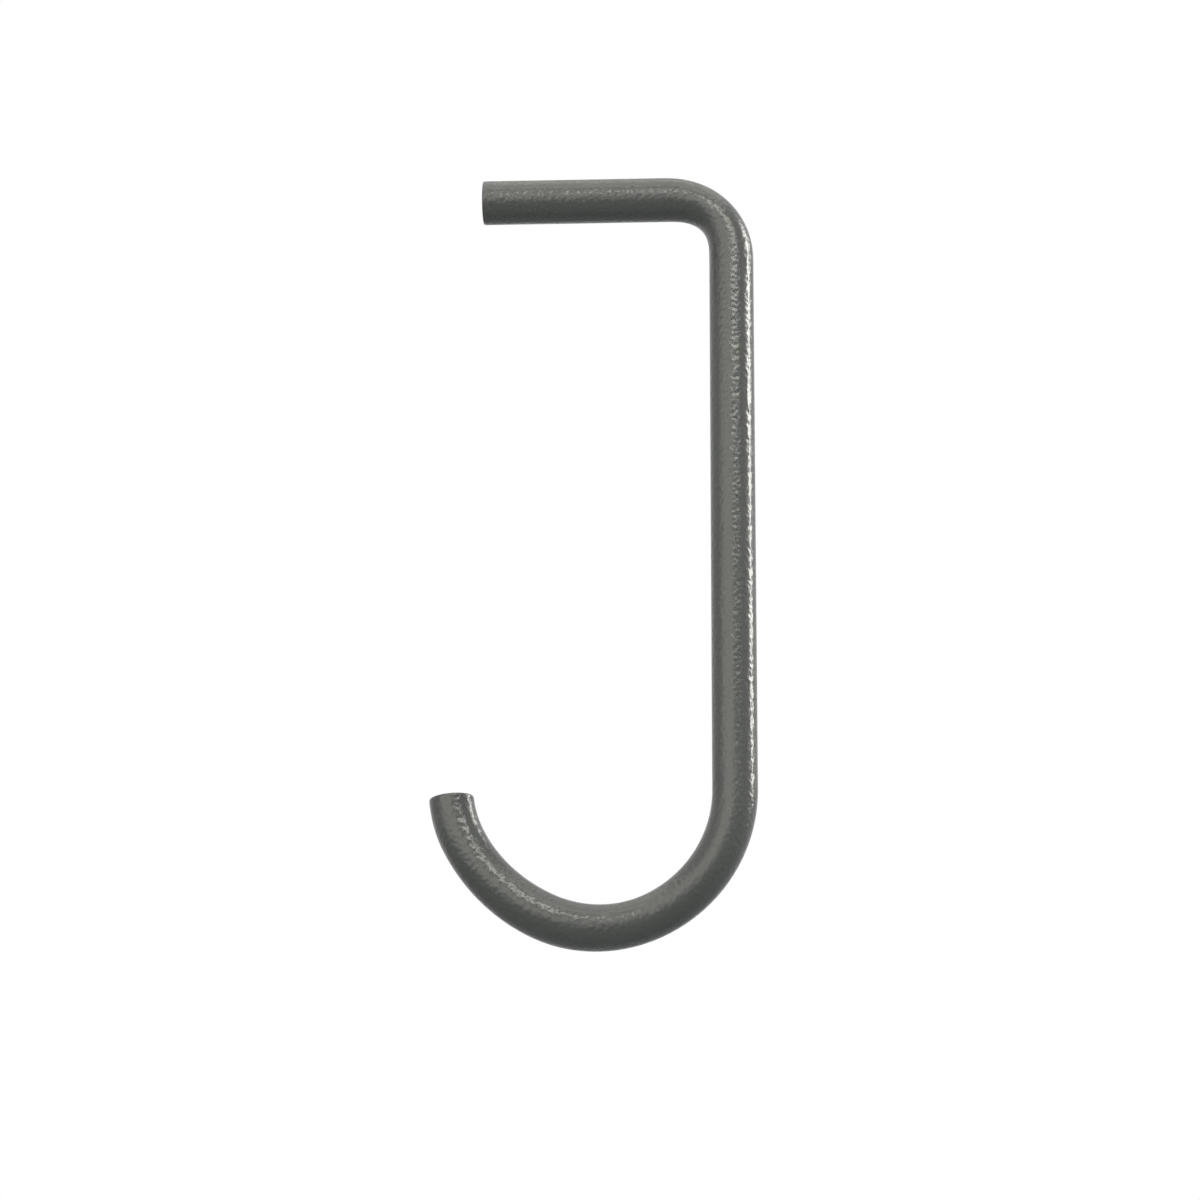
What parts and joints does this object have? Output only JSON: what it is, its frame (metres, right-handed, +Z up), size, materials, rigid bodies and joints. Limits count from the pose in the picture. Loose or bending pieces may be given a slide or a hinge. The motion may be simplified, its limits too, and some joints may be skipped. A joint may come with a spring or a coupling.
{
  "type": "j hook",
  "caption": "Round bar J hook: a short straight arm turns down through a tight bend into a long shank and an open J curve, in a dark grey textured coating.",
  "frame": {"origin": "middle of the arm's end face, on the arm's axis", "axes": "+Z up along the shank, -X out of the arm's end and towards the tip of the J, Y square to the plane of the bends"},
  "size_m": [0.0575, 0.0084, 0.1436],
  "materials": {
    "coated_steel": "semi-gloss textured coating, dark warm grey"
  },
  "bodies": {
    "root": {"hook_bar": "coated_steel"}
  },
  "joints": []
}
